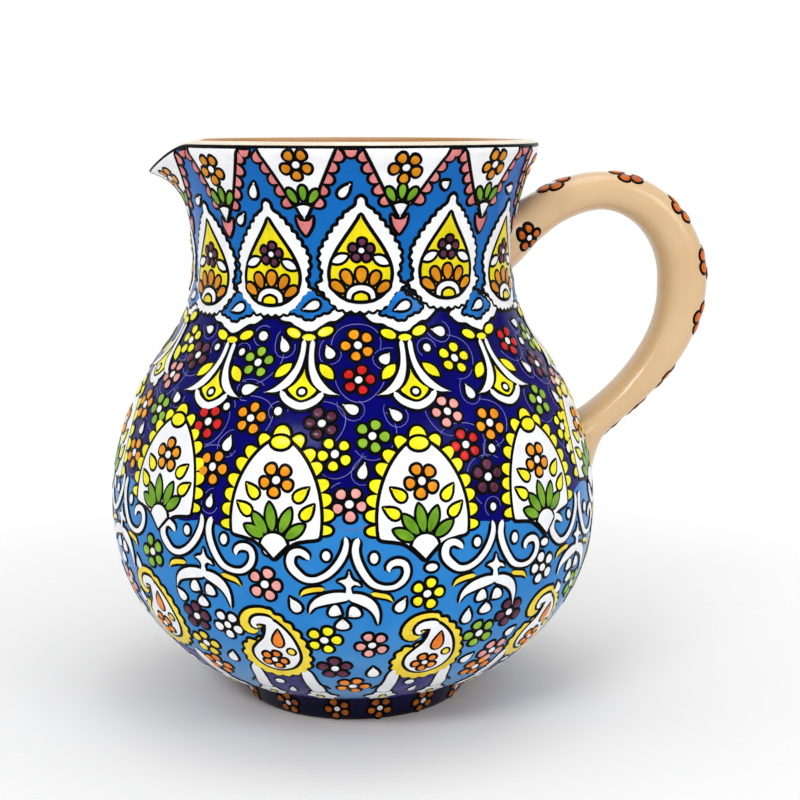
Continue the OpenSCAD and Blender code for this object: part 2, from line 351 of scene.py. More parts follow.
seamGap = 6.5  # degrees left free where the last copies meet the front


def allRound(front, start, end, columns, total):
    # the front's columns as they are, then copies of them drawn together or apart to fill the way round
    span = end - start
    squeeze = (360 - span) / ((total - columns) * span / columns)
    items = list(front)
    first = end
    left = total - columns
    while left > 0:
        take = min(left, columns)
        reach = start + span * take / columns - (seamGap if take < columns else 0)
        copied = [one for one in front if one[0] < reach]
        items += [(first + squeeze * (one[0] - start),) + tuple(one[1:]) for one in copied]
        first += squeeze * span * take / columns
        left -= take
    return items


def stepAt(run, far):
    # the index of the point that lies far mm along an open run
    return int(np.searchsorted(lengths(run), far).clip(0, len(run) - 1))


def mirrored(points):
    # the other half of an outline given from its top to its foot on the right
    p = np.asarray(points, float)
    return np.concatenate([p[::-1], (p * [-1, 1])[1:-1] if p[0, 0] == 0 else p * [-1, 1]])


print("drawing tools ready")

# Grounds: skins of revolution, the way up the wall in steps, the edge of each ground waving round the jug
grounds = {
    "steps": 720, "low": 4.2, "shoulderLow": 101.4, "shoulderHigh": 179.5, "neckLow": 177.5,
    "neckHigh": 238.7, "overlap": 4, "waves": 5, "wave": 2.0, "ripples": 29, "ripple": 0.8,
    "bumps": [(-65, 5.6), (-1, 6.6)], "bumpHalf": 9}


def skin(key, low, high, rows, lift=0.0):
    # every meridian runs from low to high, which may differ round the jug
    turn = np.linspace(0, 360, grounds["steps"], endpoint=False)
    share = np.linspace(0, 1, rows)
    lift = np.broadcast_to(lift, share.shape)
    lowest = np.broadcast_to(low, turn.shape)[:, None]
    highest = np.broadcast_to(high, turn.shape)[:, None]
    s = lowest * (1 - share) + highest * share
    r = np.interp(s, wallS, wallR) + lift * np.interp(s, wallS, wallNr)
    z = np.interp(s, wallS, wallZ) + lift * np.interp(s, wallS, wallNz)
    phi = np.broadcast_to(np.radians(jug["facing"] + turn)[:, None], s.shape)
    addGrid(key, pullLip(r, phi, z), True)


roundTurn = np.linspace(0, 360, grounds["steps"], endpoint=False)
tide = grounds["shoulderLow"] + grounds["wave"] * np.cos(np.radians(grounds["waves"] * roundTurn + 5))
tide = tide + grounds["ripple"] * np.sin(np.radians(grounds["ripples"] * roundTurn))
for middle, rise in grounds["bumps"]:
    off = (roundTurn - middle + 180) % 360 - 180
    tide = tide + rise * np.exp(-(off / grounds["bumpHalf"])**2)
skin(("ground", "belly"), grounds["low"], tide + grounds["overlap"], 120)
skin(("ground", "shoulder"), tide, grounds["shoulderHigh"], 90, 0.06)
skin(("ground", "neck"), grounds["neckLow"], grounds["neckHigh"], 90)

# The foot's band: a short cone under the belly, drawn in at the table and tucked in at its top
footBand = {"lowR": 44.4, "highR": 49.6, "midR": 47.0, "lowZ": 0.48, "high": 11.5, "steps": 360, "rows": 14,
            "drawnIn": 0.9, "soon": 0.5, "tuck": 1.5}
footTurn = np.radians(np.linspace(0, 360, footBand["steps"], endpoint=False))
footAlong = np.linspace(0, 1, footBand["rows"])
footZ = footBand["lowZ"] + (footBand["high"] - footBand["lowZ"]) * footAlong
footR = footBand["lowR"] + (footBand["highR"] - footBand["lowR"]) * footAlong
footR = footR - footBand["drawnIn"] * np.exp(-footZ / footBand["soon"])
footR[-1] = footR[-1] - footBand["tuck"]
footGrid = np.stack([footR * np.cos(footTurn)[:, None], footR * np.sin(footTurn)[:, None],
                     np.broadcast_to(footZ, (footBand["steps"], footBand["rows"]))], -1)
addGrid(("ground", "foot"), footGrid * mm, True)


def onFoot(turn):
    # x mm round the foot's band, y mm over the table
    def place(x, y, h):
        r = np.interp(y, footZ, footR) + h
        phi = np.radians(jug["facing"] + turn) + x / footBand["midR"]
        return np.stack([r * np.cos(phi), r * np.sin(phi), y + 0 * r], -1) * mm
    return place


# Rim and lining: one run from the black line over the rim, down the inner wall and across the floor
rim = {"start": 28, "end": 112, "floorZ": 19.1, "steps": 480, "corner": [1.2, 3.5, 8], "floorRings": 13}
rimTurn = np.radians(np.linspace(rim["start"], rim["end"], 22))
rimR, rimZ = rimAt(rimTurn)
edgeR, edgeZ = rimAt(np.radians(np.linspace(rim["end"], 172, 12)))
innerZ = np.concatenate([np.linspace(215.6, 150, 60), np.linspace(149, 27, 60),
                         [23.8, 21.4, 19.9, rim["floorZ"]]])
innerR = wallRadius(innerZ, -jug["wall"])
innerR[-3:] = innerR[-3:] - rim["corner"]
lineR = np.concatenate([edgeR, innerR, np.linspace(innerR[-1], 0.5, rim["floorRings"] + 1)[1:]])
lineZ = np.concatenate([edgeZ, innerZ, np.full(rim["floorRings"], rim["floorZ"])])
turnRound = np.radians(np.linspace(0, 360, rim["steps"], endpoint=False))


def turnedSkin(key, r, z, pole=None):
    # a profile of radius and height carried round the axis
    phi = np.broadcast_to(turnRound[:, None], (len(turnRound), len(r)))
    addGrid(key, pullLip(np.broadcast_to(r, phi.shape), phi, np.broadcast_to(z, phi.shape)), True, pole)


turnedSkin(("rim", "pale"), rimR, rimZ)
turnedSkin(("lining", "tan"), lineR, lineZ, np.array([0, 0, rim["floorZ"]]) * mm)
print("grounds, rim and lining laid")

# Handle: a strap drawn from the neck over the crest and down to the belly, three curves end to end
strap = {
    "upper": (183.0, 25.0), "lower": (103.5, 32.0), "crest": (98.5, 200.0), "grip": (132.0, 163.0),
    "sink": 11.0, "bury": 3.0, "ease": 0.35, "quarter": 0.552, "power": 0.85, "rows": 260, "round": 56,
    "across": 9.5, "soften": 17,
    "at": [0, 0.2, 0.34, 0.55, 1, 2, 2.6, 2.79, 2.86, 2.93, 3],
    "back": [12, 9.8, 8.2, 7.6, 7.3, 9.2, 6.3, 6.1, 9.5, 16, 22],
    "inner": [14.5, 11.6, 9.3, 7.9, 7.5, 10, 6.9, 6.3, 6.8, 8.2, 10.5],
    "wide": [36, 29, 24, 20.8, 20, 20, 20, 22.5, 27, 31, 34]}


def heading(degrees):
    # a unit step that way in the plane of the handle
    return np.array([np.cos(np.radians(degrees)), np.sin(np.radians(degrees))])


def strapCurves():
    # the control points of the three curves in the plane of the handle
    upperZ, upperWay = strap["upper"]
    lowerZ, lowerWay = strap["lower"]
    top = np.array([wallRadius(upperZ, 0), upperZ]) - strap["sink"] * heading(upperWay)
    foot = np.array([wallRadius(lowerZ, 0), lowerZ]) - strap["sink"] * heading(lowerWay)
    crest = np.array(strap["crest"])
    grip = np.array(strap["grip"])
    rise = strap["ease"] * np.linalg.norm(crest - top)
    fall = strap["ease"] * np.linalg.norm(grip - foot)
    over = strap["quarter"] * (grip - crest)
    return np.array([[top, top + rise * heading(upperWay), crest - [rise, 0], crest],
                     [crest, crest + [over[0], 0], grip - [0, over[1]], grip],
                     [grip, grip - [0, fall], foot + fall * heading(lowerWay), foot]])


strapLine = strapCurves()


def strapAt(t):
    # place, heading, thickness to the back and to the inside, and width at station t, 0 to 3
    t = np.clip(np.asarray(t, float), 0, 3)
    span = np.minimum(t.astype(int), 2)
    u = (t - span)[..., None]
    p = np.moveaxis(strapLine[span], -2, 0)
    at = (1 - u)**3 * p[0] + 3 * (1 - u)**2 * u * p[1] + 3 * (1 - u) * u**2 * p[2] + u**3 * p[3]
    way = (1 - u)**2 * (p[1] - p[0]) + 2 * (1 - u) * u * (p[2] - p[1]) + u**2 * (p[3] - p[2])
    way = way / np.linalg.norm(way, axis=-1, keepdims=True)
    fine = np.linspace(0, 3, 601)
    glide = np.ones(strap["soften"]) / strap["soften"]

    def gauge(values):
        coarse = np.interp(fine, strap["at"], values)
        soft = np.convolve(np.pad(coarse, strap["soften"] // 2, mode="edge"), glide, mode="valid")
        return np.interp(t, fine, soft)
    return at, way, gauge(strap["back"]), gauge(strap["inner"]), gauge(strap["wide"])


def strapSkin(t, u, h):
    # an oval section, blunter than an ellipse, square to the way along
    at, way, back, inner, wide = strapAt(t)
    c = np.cos(u)
    d = np.sin(u)
    out = (np.where(c > 0, back, inner) + h) * np.sign(c) * np.abs(c)**strap["power"]
    side = (wide / 2 + h) * np.sign(d) * np.abs(d)**strap["power"]
    x = at[..., 0] - way[..., 1] * out
    z = at[..., 1] + way[..., 0] * out
    # what would lie deeper than bury mm in the body's wall stops there
    push = np.maximum(wallRadius(z, -strap["bury"]) / np.hypot(x, side), 1)
    return np.stack([x * push, side * push, z], -1) * mm


strapT = np.linspace(0, 3, strap["rows"])[:, None] + np.zeros(strap["round"])
strapU = np.linspace(0, 2 * np.pi, strap["round"] + 1)[None, :] + np.zeros((strap["rows"], 1))
strapGrid = strapSkin(strapT, strapU[:, :-1], 0.0)
strapRings = np.swapaxes(strapGrid, 0, 1)[::-1]
addGrid(("handle", "cream"), strapRings, True, strapRings[:, -1].mean(0))
addGrid(("handle", "cream"), strapRings[::-1, :1], True, strapRings[:, 0].mean(0))
print("handle drawn")

# Shader maths

class Wire:
    # a node's socket that takes part in sums
    def __init__(self, tree, socket):
        self.tree = tree
        self.socket = socket

    def make(self, kind, settings, sockets, out=0):
        # any other node: its settings first, then its sockets' values or links
        node = self.tree.nodes.new(kind)
        for name, value in settings.items():
            setattr(node, name, value)
        for name, value in sockets.items():
            if isinstance(value, Wire):
                self.tree.links.new(value.socket, node.inputs[name])
            else:
                node.inputs[name].default_value = value
        return Wire(self.tree, node.outputs[out])

    def sum(self, operation, a, b):
        return self.make("ShaderNodeMath", {"operation": operation}, {0: a, 1: b})

    def __add__(self, other):
        return self.sum("ADD", self, other)

    def __radd__(self, other):
        return self.sum("ADD", other, self)

    def __sub__(self, other):
        return self.sum("SUBTRACT", self, other)

    def __rsub__(self, other):
        return self.sum("SUBTRACT", other, self)

    def __mul__(self, other):
        return self.sum("MULTIPLY", self, other)

    def __rmul__(self, other):
        return self.sum("MULTIPLY", other, self)

    def __truediv__(self, other):
        return self.sum("DIVIDE", self, other)

    def clipped(self):
        return self.make("ShaderNodeClamp", {}, {0: self})

    def mixed(self, a, b):
        # colour a where this is 0, colour b where it is 1
        return self.make("ShaderNodeMix", {"data_type": "RGBA"}, {0: self, 6: a, 7: b}, 2)


def linear(colour, gain=1.0):
    # screen values of 0 to 255 as scene light
    c = np.clip(np.asarray(colour, float) / 255, 0, 1)
    c = np.where(c <= 0.04045, c / 12.92, ((c + 0.055) / 1.055)**2.4) * gain
    return tuple(np.clip(c, 0, 1)) + (1.0,)


def finish(name):
    # an empty node material and a wire to start from
    material = bpy.data.materials.new(name)
    material.use_nodes = True
    tree = material.node_tree
    tree.nodes.clear()
    out = tree.nodes.new("ShaderNodeOutputMaterial")
    shader = tree.nodes.new("ShaderNodeBsdfPrincipled")
    tree.links.new(shader.outputs[0], out.inputs[0])
    start = tree.nodes.new("ShaderNodeTexCoord")
    return material, shader, Wire(tree, start.outputs["Object"])


def plug(shader, name, value):
    value.tree.links.new(value.socket, shader.inputs[name])


def cloud(place, fine, detail=3.0):
    # soft noise of 0 to 1
    sockets = {"Vector": place, "Scale": fine, "Detail": detail, "Roughness": 0.55}
    return place.make("ShaderNodeTexNoise", {}, sockets)


def uneven(shader, height, strength, depth):
    # a skin that rises and falls with a height, by depth metres at full strength
    sockets = {"Strength": strength, "Distance": depth, "Height": height}
    plug(shader, "Normal", height.make("ShaderNodeBump", {}, sockets))


def enamel(name, colour, pale, drift=0.16, rough=0.13, bump=0.12, gloss=0.16):
    # fired enamel: the colour pools darker and paler, the gloss and the skin waver a little
    material, shader, place = finish(name)
    pool = cloud(place, 140.0)
    deep = linear(colour, 1 - drift)
    light = linear(pale, 1 + drift * 0.6)
    mask = ((pool - 0.32) * 2.8).clipped()
    plug(shader, "Base Color", mask.mixed(deep, light))
    skinNoise = cloud(place, 420.0, 2.0)
    plug(shader, "Roughness", rough + 0.1 * skinNoise)
    uneven(shader, cloud(place, 260.0, 2.0), bump, 0.0006)
    shader.inputs["Specular IOR Level"].default_value = gloss
    return material


def ground(name, colour, low, lowZ, highZ, other, drift=0.2, gloss=0.12):
    # a blue ground: from one colour to another over the heights given in mm, with brushed clouds; on the
    # belly this change is a painted reflection of the floor, on the foot a painted shade
    material, shader, place = finish(name)
    height = place.make("ShaderNodeSeparateXYZ", {}, {0: place}, 2)
    brush = cloud(place, 55.0, 4.0)
    climb = ((height * 1000 - lowZ) / (highZ - lowZ) + (brush - 0.5) * 0.5).clipped()
    fade = climb.mixed(linear(low), linear(colour))
    pool = ((cloud(place, 85.0, 5.0) - 0.38) * 2.6).clipped()
    plug(shader, "Base Color", (1 - drift + drift * pool).mixed(linear(other), fade))
    plug(shader, "Roughness", 0.12 + 0.12 * cloud(place, 300.0, 2.0))
    shader.inputs["Specular IOR Level"].default_value = gloss
    uneven(shader, cloud(place, 180.0, 3.0), 0.15, 0.0006)
    return material


def crazedGlaze(name, colour, other, rough=0.16):
    # a clear glaze over clay: cloudy warm colour, a few dark specks, a faintly uneven skin
    material, shader, place = finish(name)
    cloudy = ((cloud(place, 38.0, 4.0) - 0.3) * 2.2).clipped()
    body = cloudy.mixed(linear(colour), linear(other))
    speck = ((cloud(place, 900.0, 1.0) - 0.72) * 14).clipped() * 0.35
    plug(shader, "Base Color", speck.mixed(body, linear((120, 80, 45))))
    plug(shader, "Roughness", rough + 0.12 * cloud(place, 240.0, 2.0))
    uneven(shader, cloud(place, 120.0, 3.0), 0.14, 0.0008)
    return material


def firedClay(name, colour, other):
    # matt clay: throwing rings up the height and fine grit
    material, shader, place = finish(name)
    height = place.make("ShaderNodeSeparateXYZ", {}, {0: place}, 2)
    turned = place.make("ShaderNodeMath", {"operation": "SINE"}, {0: height * 2600.0})
    grit = cloud(place, 1200.0, 2.0)
    patchy = ((cloud(place, 60.0, 4.0) - 0.3) * 2.4).clipped()
    plug(shader, "Base Color", patchy.mixed(linear(colour), linear(other)))
    plug(shader, "Roughness", 0.62 + 0.2 * grit)
    uneven(shader, turned * 0.5 + grit, 0.3, 0.0004)
    return material


finishes = {
    "ink": enamel("piped black", (2, 2, 3), (5, 5, 7), 0.2, 0.24, 0.12, 0.04),
    "white": enamel("white enamel", (240, 241, 244), (248, 249, 251), 0.03),
    "yellow": enamel("yellow enamel", (244, 232, 8), (252, 246, 34), 0.08),
    "gold": enamel("golden yellow enamel", (230, 212, 0), (242, 226, 8), 0.08),
    "orange": enamel("orange enamel", (234, 140, 6), (250, 164, 18), 0.1),
    "straw": enamel("straw yellow enamel", (240, 208, 40), (250, 224, 66), 0.08),
    "tangerine": enamel("tangerine enamel", (236, 120, 24), (250, 150, 48), 0.1),
    "ochre": enamel("ochre enamel", (204, 122, 0), (226, 146, 6), 0.12),
    "red": enamel("red enamel", (204, 10, 14), (222, 30, 30), 0.14),
    "green": enamel("green enamel", (126, 178, 36), (148, 194, 54), 0.12),
    "leaf": enamel("leaf green enamel", (92, 150, 16), (118, 168, 34), 0.14),
    "plum": enamel("plum enamel", (80, 24, 52), (106, 48, 78), 0.16),
    "pink": enamel("pink enamel", (230, 150, 146), (242, 172, 166), 0.08),
    "rose": enamel("rose enamel", (210, 110, 112), (226, 136, 136), 0.1),
    # thin pale lines on the cobalt: a painted glint along the edges of raised black lines, not a scratch
    "lilac": enamel("painted glint line", (92, 92, 156), (124, 124, 180), 0.1),
    "sky": enamel("sky blue enamel", (4, 104, 186), (14, 116, 198), 0.14),
    "cobalt": enamel("cobalt enamel", (10, 6, 80), (22, 18, 96), 0.2),
    "violet": enamel("milky violet enamel", (30, 24, 104), (60, 54, 126), 0.2, 0.16, 0.12, 0.08),
    "russet": enamel("russet enamel", (196, 86, 6), (220, 110, 18), 0.14),
    "brown": enamel("brown enamel", (158, 78, 6), (194, 106, 18), 0.16),
}
groundFinish = {
    "neck": ground("neck blue", (4, 104, 186), (8, 114, 196), 160, 200, (2, 88, 168), 0.4),
    "shoulder": ground("shoulder cobalt", (0, 0, 110), (2, 0, 122), 100, 170, (0, 0, 70), 0.55, 0.05),
    # the belly's paler colour low down is a painted reflection of the white floor
    "belly": ground("belly blue", (44, 134, 206), (104, 158, 200), 16, 58, (20, 112, 194), 0.4),
    # the foot's darker colour toward the table is painted shade where the foot meets the table
    "foot": ground("foot cobalt", (8, 5, 62), (4, 2, 34), 0, 10, (3, 1, 26), 0.5),
}
glazes = {
    "cream": crazedGlaze("cream glaze", (214, 178, 132), (224, 190, 148)),
    "pale": crazedGlaze("pale rim glaze", (226, 208, 178), (240, 231, 214)),
    "tan": crazedGlaze("tan glaze", (160, 108, 48), (182, 132, 68)),
}
clayBody = firedClay("fired clay", (188, 146, 104), (204, 166, 124))
print("finishes mixed")

# Neck: hanging triangles with scaled sides, tear-shaped medallions between them,
# lozenges and a garland under them
neck = {
    "columns": (-77.5, 75.5, 5, 12),
    "medallions": [(-57.0, -3.9), (-27.8, -1.9), (2.6, 0.0), (33.0, 0.3), (64.5, -3.5)],
    "triangles": [
        (-74.5, -2.0, 14.0, 15.0), (-45.3, -1.6, 12.5, 14.6), (-15.2, 0.0, 15.4, 13.6),
        (15.0, 0.7, 15.1, 17.2), (47.2, -0.2, 17.4, 13.4)],
    "flowers": [(-75.5, 229.5), (-46.3, 229.9), (-16.0, 232.3), (15.5, 231.2), (46.8, 231.8)],
    "lozenges": [(-72.0, -0.6), (-40.8, -2.2), (-13.8, 0.1), (15.5, -0.2), (44.8, -1.8)],
    "caps": [(-0.3, 0.0), (30.4, 0.0), (61.8, 0.0), (-58.6, -0.6), (-31.5, -0.2)],
    "rimLine": (16, 40),
    "drops": [
        (-60.5, 217.5, 7, 3.4, -60), (-38.6, 211.5, 6.5, 3.4, -42), (-31.6, 222.3, 7.5, 3.8, -18),
        (-2.2, 222.7, 7.5, 3.6, -38), (29.4, 224.6, 4.4, 4.2, -50), (61.0, 221.7, 7.0, 3.8, 80)]}

triangleSide = np.array([
    [1.0, 238.2], [0.81, 233.2], [0.63, 228.2], [0.46, 223.4], [0.31, 219.0], [0.22, 216.4],
    [0.0, 211.2]])
kiteTop = np.array([
    [-3.2, 216.8], [-1.8, 217.6], [0.0, 217.9], [1.8, 217.6], [3.2, 216.8], [1.7, 213.8], [0.0, 211.3],
    [-1.7, 213.8]])
shieldEdge = [
    [3.2, 213.2], [3.2, 210.4], [2.1, 207.9], [0.1, 205.6], [-2.1, 208.0], [-3.2, 210.6], [-3.2, 213.2],
    [-1.4, 212.0], [1.4, 212.0]]
fanEdge = [
    [5.2, 183.4], [5.7, 184.6], [5.0, 187.0], [3.0, 188.7], [0.0, 189.3], [-3.0, 188.7], [-5.0, 187.0],
    [-5.7, 184.6], [-5.2, 183.4], [-2.6, 182.7], [0.0, 182.5], [2.6, 182.7]]
fanHeart = [
    [2.7, 182.8], [3.1, 184.0], [2.4, 185.6], [0.0, 186.5], [-2.4, 185.6], [-3.1, 184.0], [-2.7, 182.8],
    [0.0, 182.5]]
medallionEdge = [
    [0, 220.9], [1.7, 219.7], [2.2, 217.4], [4.5, 215.6], [6.6, 213.2], [8.8, 210.4], [11.0, 207.4],
    [12.6, 204.6], [14.0, 202.2], [14.8, 199.4], [14.6, 196.0], [13.8, 192.0], [14.6, 189.6],
    [16.0, 188.3], [14.2, 186.2], [12.4, 184.2], [11.0, 182.0], [9.0, 180.2], [6.0, 179.0], [0, 178.5]]
tearEdge = [
    [0, 214.4], [1.4, 212.2], [3.4, 209.0], [5.9, 205.3], [8.6, 201.0], [10.6, 196.6], [11.3, 192.8],
    [10.7, 189.0], [8.6, 185.7], [5.2, 183.4], [0, 182.5]]
fanRays = [
    (-8.0, 188.0, 4.1, 6.8, 52), (-4.8, 191.3, 4.4, 6.8, 25), (0.2, 192.2, 4.8, 6.6, 0),
    (4.9, 191.0, 4.2, 6.4, -25), (7.9, 187.7, 4.0, 6.4, -52)]
lozengeEdge = [
    [0.3, 187.2], [2.8, 185.2], [6.0, 183.4], [8.4, 180.8], [7.4, 179.0], [3.5, 177.6], [0.0, 175.7],
    [-4.0, 177.2], [-8.2, 178.5], [-5.8, 180.6], [-4.2, 183.0], [-2.6, 185.4]]
garlandEdge = [
    [-14.0, 179.2], [-13.0, 177.0], [-11.2, 175.2], [-9.2, 174.6], [-7.2, 174.4], [-5.2, 173.0],
    [-2.8, 171.9], [0.0, 170.9], [2.8, 171.8], [5.2, 173.6], [7.4, 175.0], [9.6, 175.2], [11.6, 176.6],
    [13.4, 178.2], [14.2, 179.6], [8.0, 184.0], [0.0, 187.0], [-8.0, 184.0]]

for turn, lift in allRound(neck["lozenges"], *neck["columns"]):
    place = onWall(turn, lift)
    inked("neck", "white", spline(garlandEdge, True, 0.7), place, 0.0, 0.34, 1.2, (0, 180), wideRings)
    edge = rippled(spline(lozengeEdge, True, 0.5), 0.5, 3.0)
    inked("neck", "sky", edge, place, 0.3, 0.3, 1.0, (0, 180.6))
    inked("neck", "white", laid(tear(4.3, 7.6), 0.4, 180.8, 112), place, 0.52, 0.3, 1.0)
for turn, lift in allRound(neck["medallions"], *neck["columns"]):
    place = onWall(turn, lift)
    edge = rippled(spline(mirrored(medallionEdge), True, 0.45), 0.9, 3.2, 216.5)
    inked("neck", "white", edge, place, 0.16, 0.36, 1.1, (0, 196), wideRings)
    panel = spline(mirrored(tearEdge), True, 0.7)
    inked("neck", "gold", panel, place, 0.42, 0.28, 1.3, (0, 195), wideRings)
    flower("neck", "plum", 0.2, 201.0, place, 5.0, 0.6, rng.uniform(-12, 12))
    inked("neck", "white", laid(blade(4.0, 7.4), -7.3, 198.0, -66), place, 0.6, 0.32, 1.0)
    inked("neck", "white", laid(blade(4.0, 7.4), 7.2, 197.4, 63), place, 0.6, 0.32, 1.0)
    for x, s, wide, long, tilt in fanRays:
        inked("neck", "ochre", laid(egg(wide, long, 16), x, s, tilt), place, 0.6, 0.36, 0.95)
    inked("neck", "white", spline(fanEdge, True, 0.6), place, 0.64, 0.34, 1.1, (0, 185.2))
    inked("neck", "gold", spline(fanHeart, True, 0.6), place, 0.84, 0.32, 1.1, (0, 184.2))
for turn, lift, left, right in allRound(neck["triangles"], *neck["columns"]):
    place = onWall(turn, lift)
    rightSide = (triangleSide * [right, 1])[::-1]
    leftSide = (triangleSide * [-left, 1])[:-1]
    panel = evenly(np.concatenate([rightSide, leftSide]), True, 0.8)
    puddle(("neck", "white"), panel, place, 0.05, 0.32, (0, 229), wideRings)
    for side in (1, -1):
        half = right if side > 0 else left
        run = evenly(triangleSide[:-1] * [side * half, 1], False, 0.8)
        stroke(("neck", "ink"), run, 0.62, place, 0.2, 0.42)
        lean = side * (90 + np.degrees(np.arctan2(run[0, 0] - run[-1, 0], run[0, 1] - run[-1, 1]) * side))
        for share, wide in ((0.13, 5.2), (0.325, 5.2), (0.52, 5.1), (0.715, 5.0), (0.905, 4.7)):
            at = run[int(share * (len(run) - 1))]
            bulge = scale(wide + rng.uniform(-0.2, 0.2), 3.6 + rng.uniform(-0.3, 0.3))
            inked("neck", "rose", laid(bulge, at[0] + side * 0.3, at[1], -lean), place, 0.0, 0.5, 1.0)
    inked("neck", "rose", spline(shieldEdge, True, 0.6), place, 0.05, 0.5, 1.1, (0, 209.6))
    for x, s, long, tilt in ((-3.8, 220.5, 7.0, 30), (3.9, 220.4, 6.8, -34), (0.2, 221.6, 6.6, 0)):
        inked("neck", "leaf", laid(egg(3.7, long, 16), x, s, tilt), place, 0.3, 0.42, 1.0)
    inked("neck", "white", evenly(kiteTop, True, 0.6), place, 0.36, 0.44, 1.1)
for turn, s in allRound(neck["flowers"], *neck["columns"]):
    flower("neck", "ochre", 0, s, onWall(turn), 6.6, 0.3, 36 + rng.uniform(-9, 9))
for turn, lift in allRound(neck["caps"], *neck["columns"]):
    inked("neck", "rose", laid(scale(5.2, 3.4), 0, 238.0 + lift, 180), onWall(turn), 0.0, 0.5, 1.0)
for turn, s, long, wide, tilt in allRound(neck["drops"], *neck["columns"]):
    inked("neck", "white", laid(tear(wide + 0.6, long), 0, s, tilt), onWall(turn), 0.0, 0.5, 1.1)
rimLine = np.interp(neck["rimLine"], np.degrees(overRim), wallS[-len(overRim):])
skin(("neck", "ink"), rimLine[0], rimLine[1], 7, np.array([-0.1, 0.36, 0.5, 0.54, 0.5, 0.36, -0.1]))
print("neck painted")

# Shoulder: lilies under the garland, loose flowers and drops on the cobalt with painted glint lines round
# them, a row of arches at its foot
shoulder = {
    "columns": (-80.5, 73.3, 5, 12),
    "lilies": [(-70.5, 1.0), (-39.5, -2.8), (-13.4, 0.0), (15.8, -0.2), (43.2, -2.2)],
    "arches": [(-79.5, 7.5), (-47.2, 3.4), (-16.8, -0.2), (14.8, -0.6), (46.4, 1.0)],
    "flowers": [
        (-66.5, 135.0, "orange"), (-63.0, 117.0, "orange"), (-60.0, 164.0, "yellow"),
        (-59.0, 149.3, "pink"), (-57.2, 135.5, "green"), (-51.8, 159.0, "plum"), (-37.2, 135.0, "red"),
        (-33.0, 119.4, "orange"), (-27.9, 159.2, "green"), (-25.4, 138.0, "orange"),
        (-7.5, 137.4, "plum"), (-4.2, 126.7, "yellow"), (-1.0, 109.5, "pink"), (1.4, 167.0, "orange"),
        (1.4, 153.6, "red"), (4.3, 132.9, "green"), (23.4, 140.3, "pink"), (26.4, 127.8, "red"),
        (30.4, 160.4, "yellow"), (30.8, 115.6, "plum"), (34.4, 134.4, "orange"), (55.4, 163.8, "red"),
        (55.3, 138.8, "green"), (61.7, 126.5, "yellow"), (64.9, 151.8, "plum"), (72.4, 142.0, "pink"),
        (72.6, 162.5, "green")],
    "drops": [
        (-67.0, 145.0, 5.5, 3.4, 15), (-62.7, 126.6, 5.0, 3.6, -10), (-52.0, 169.7, 5.2, 3.4, 75),
        (-51.5, 141.7, 5.0, 4.0, 30), (-44.9, 163.4, 3.4, 3.2, 0), (-34.5, 162.7, 3.6, 3.2, 0),
        (-33.0, 141.3, 3.6, 3.4, 0), (-32.5, 107.6, 5.4, 3.2, -12), (-30.0, 128.4, 6.4, 4.0, -14),
        (-28.5, 169.4, 4.4, 4.2, 60), (-27.7, 148.7, 7.0, 4.4, -72), (-21.0, 166.8, 6.8, 3.6, 25),
        (-18.6, 141.2, 3.8, 3.6, 0), (-7.0, 164.5, 6.0, 3.8, 25), (-0.8, 142.9, 6.6, 3.8, 62),
        (2.0, 121.0, 6.4, 3.6, -14), (9.3, 162.0, 5.6, 4.2, -40), (10.0, 140.5, 6.2, 3.8, 42),
        (22.3, 165.2, 3.8, 3.6, 0), (27.2, 171.2, 6.2, 4.0, 75), (31.2, 147.0, 6.4, 3.8, 15),
        (33.2, 125.3, 3.8, 3.6, 0), (31.2, 105.0, 3.6, 3.2, 0), (57.4, 152.3, 6.0, 3.8, 30),
        (61.4, 118.0, 4.0, 3.4, 0), (64.3, 162.2, 3.8, 3.6, 0), (65.2, 137.8, 6.2, 3.8, 25),
        (65.6, 169.7, 5.4, 3.6, 70)]}

stemRight = [
    [1.55, 168.8, 3.0], [1.65, 163.0, 3.1], [2.7, 157.5, 3.6], [5.3, 152.4, 4.3], [9.2, 149.1, 3.2],
    [13.6, 147.6, 0.7]]
kiteEdge = [
    [0, 158.2], [1.5, 154.7], [3.5, 151.8], [5.9, 149.5], [3.7, 146.5], [0.3, 145.0], [-2.9, 146.5],
    [-5.5, 149.4], [-3.3, 151.8], [-1.4, 154.7]]
cupLine = [
    [-7.7, 149.2, 3.0], [-4.9, 145.5, 3.8], [0.3, 143.4, 4.0], [5.3, 145.5, 3.8], [8.2, 149.4, 3.0]]
archScales = [(6.0, 5.8), (11.6, 5.8), (17.1, 5.8), (22.5, 5.8), (27.9, 5.7), (33.2, 5.4), (37.9, 4.6)]
archEdge = [
    [0, 132.8], [3.2, 131.2], [6.4, 128.9], [10.4, 124.2], [13.8, 118.0], [15.9, 111.5], [16.8, 105.2],
    [16.7, 99.8], [15.8, 97.4], [11.5, 96.6], [7.5, 95.6], [3.5, 92.6], [0, 89.6]]

for turn, lift in allRound(shoulder["lilies"], *shoulder["columns"]):
    place = onWall(turn, lift)
    for side in (1, -1):
        petal = laid(blade(4.9, 9.4), side * 7.8, 156.8, side * 44)
        inked("shoulder", "yellow", petal, place, 0.0, 0.5, 1.1)
        bract = laid(oval(7.0, 4.6, 14), side * 5.7, 171.5 + 0.4 * side, side * 22)
        inked("shoulder", "yellow", bract, place, 0.15, 0.5, 1.1)
    inkedStroke("shoulder", "white", cupLine, place, 0.05, 0.5, 1.1)
    inked("shoulder", "yellow", spline(kiteEdge), place, 0.2, 0.4, 1.1, (0.3, 149.5))
    for side in (1, -1):
        inkedStroke("shoulder", "white", np.array(stemRight) * [side, 1, 1], place, 0.25, 0.5, 1.1)
    inked("shoulder", "yellow", laid(oval(6.2, 3.8, 14), 0, 169.6, 0), place, 0.4, 0.45, 1.1)
    puddle(("shoulder", "ink"), laid(oval(4.8, 4.8, 16), 0.3, 148.6, 0), place, 0.4, 0.3)
    puddle(("shoulder", "white"), laid(oval(2.8, 2.6, 12), 0.3, 148.6, 0), place, 0.4, 0.5)
